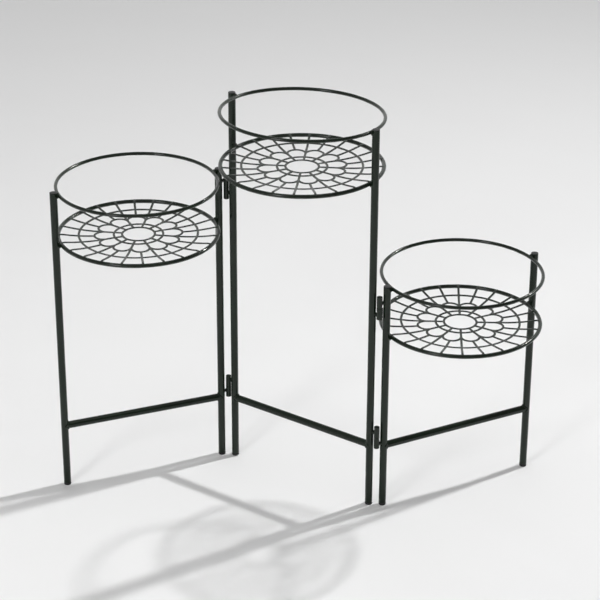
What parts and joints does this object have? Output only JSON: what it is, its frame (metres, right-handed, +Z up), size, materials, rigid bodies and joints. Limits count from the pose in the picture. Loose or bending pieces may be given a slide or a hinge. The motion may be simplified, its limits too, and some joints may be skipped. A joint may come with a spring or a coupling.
{
  "type": "folding plant stand",
  "caption": "Folding zigzag plant stand of dark green tube panels at stepped heights, each with a pot hoop above a round rosette grille tray.",
  "frame": {"origin": "on the floor under the middle of the stand's box, folded as in the picture", "axes": "+Z up, +X along the spread of the panels to the right as seen from the front, +Y to the back"},
  "size_m": [0.8314, 0.3322, 0.7031],
  "materials": {
    "frame_coat": "satin dark green powder coat",
    "end_plugs": "matte black moulded plastic",
    "hinge_pins": "plain drawn steel"
  },
  "bodies": {
    "left_panel": {"left_panel_left_post": "frame_coat", "left_panel_left_cap": "end_plugs", "left_panel_left_foot": "end_plugs", "left_panel_right_post": "frame_coat", "left_panel_right_cap": "end_plugs", "left_panel_right_foot": "end_plugs", "left_panel_crossbar": "frame_coat", "left_panel_hoop": "frame_coat", "left_panel_hoop_welds": "frame_coat", "left_panel_tray_rim": "frame_coat", "left_panel_tray_welds": "frame_coat", "left_panel_tray_grille": "frame_coat", "left_upper_hinge_top_knuckle": "frame_coat", "left_upper_hinge_top_stub": "frame_coat", "left_lower_hinge_bottom_knuckle": "frame_coat", "left_lower_hinge_bottom_stub": "frame_coat", "left_lower_hinge_pin": "hinge_pins"},
    "middle_panel": {"middle_panel_left_post": "frame_coat", "middle_panel_left_cap": "end_plugs", "middle_panel_left_foot": "end_plugs", "middle_panel_right_post": "frame_coat", "middle_panel_right_cap": "end_plugs", "middle_panel_right_foot": "end_plugs", "middle_panel_crossbar": "frame_coat", "middle_panel_hoop": "frame_coat", "middle_panel_hoop_welds": "frame_coat", "middle_panel_tray_rim": "frame_coat", "middle_panel_tray_welds": "frame_coat", "middle_panel_tray_grille": "frame_coat", "left_lower_hinge_top_knuckle": "frame_coat", "left_lower_hinge_top_stub": "frame_coat", "left_upper_hinge_bottom_knuckle": "frame_coat", "left_upper_hinge_bottom_stub": "frame_coat", "left_upper_hinge_pin": "hinge_pins", "right_lower_hinge_top_knuckle": "frame_coat", "right_lower_hinge_top_stub": "frame_coat", "right_upper_hinge_bottom_knuckle": "frame_coat", "right_upper_hinge_bottom_stub": "frame_coat", "right_upper_hinge_pin": "hinge_pins"},
    "right_panel": {"right_panel_left_post": "frame_coat", "right_panel_left_cap": "end_plugs", "right_panel_left_foot": "end_plugs", "right_panel_right_post": "frame_coat", "right_panel_right_cap": "end_plugs", "right_panel_right_foot": "end_plugs", "right_panel_crossbar": "frame_coat", "right_panel_hoop": "frame_coat", "right_panel_hoop_welds": "frame_coat", "right_panel_tray_rim": "frame_coat", "right_panel_tray_welds": "frame_coat", "right_panel_tray_grille": "frame_coat", "right_upper_hinge_top_knuckle": "frame_coat", "right_upper_hinge_top_stub": "frame_coat", "right_lower_hinge_bottom_knuckle": "frame_coat", "right_lower_hinge_bottom_stub": "frame_coat", "right_lower_hinge_pin": "hinge_pins"}
  },
  "joints": [
    {"name": "left_fold", "type": "hinge", "parent": "middle_panel", "child": "left_panel", "pos_m": [-0.12553, 0.08658, 0], "axis": [0, 0, 1], "range_deg": [-174.3, 58.7]},
    {"name": "right_fold", "type": "hinge", "parent": "middle_panel", "child": "right_panel", "pos_m": [0.13426, -0.10078, 0], "axis": [0, 0, 1], "range_deg": [-179.9, 53.1]}
  ]
}
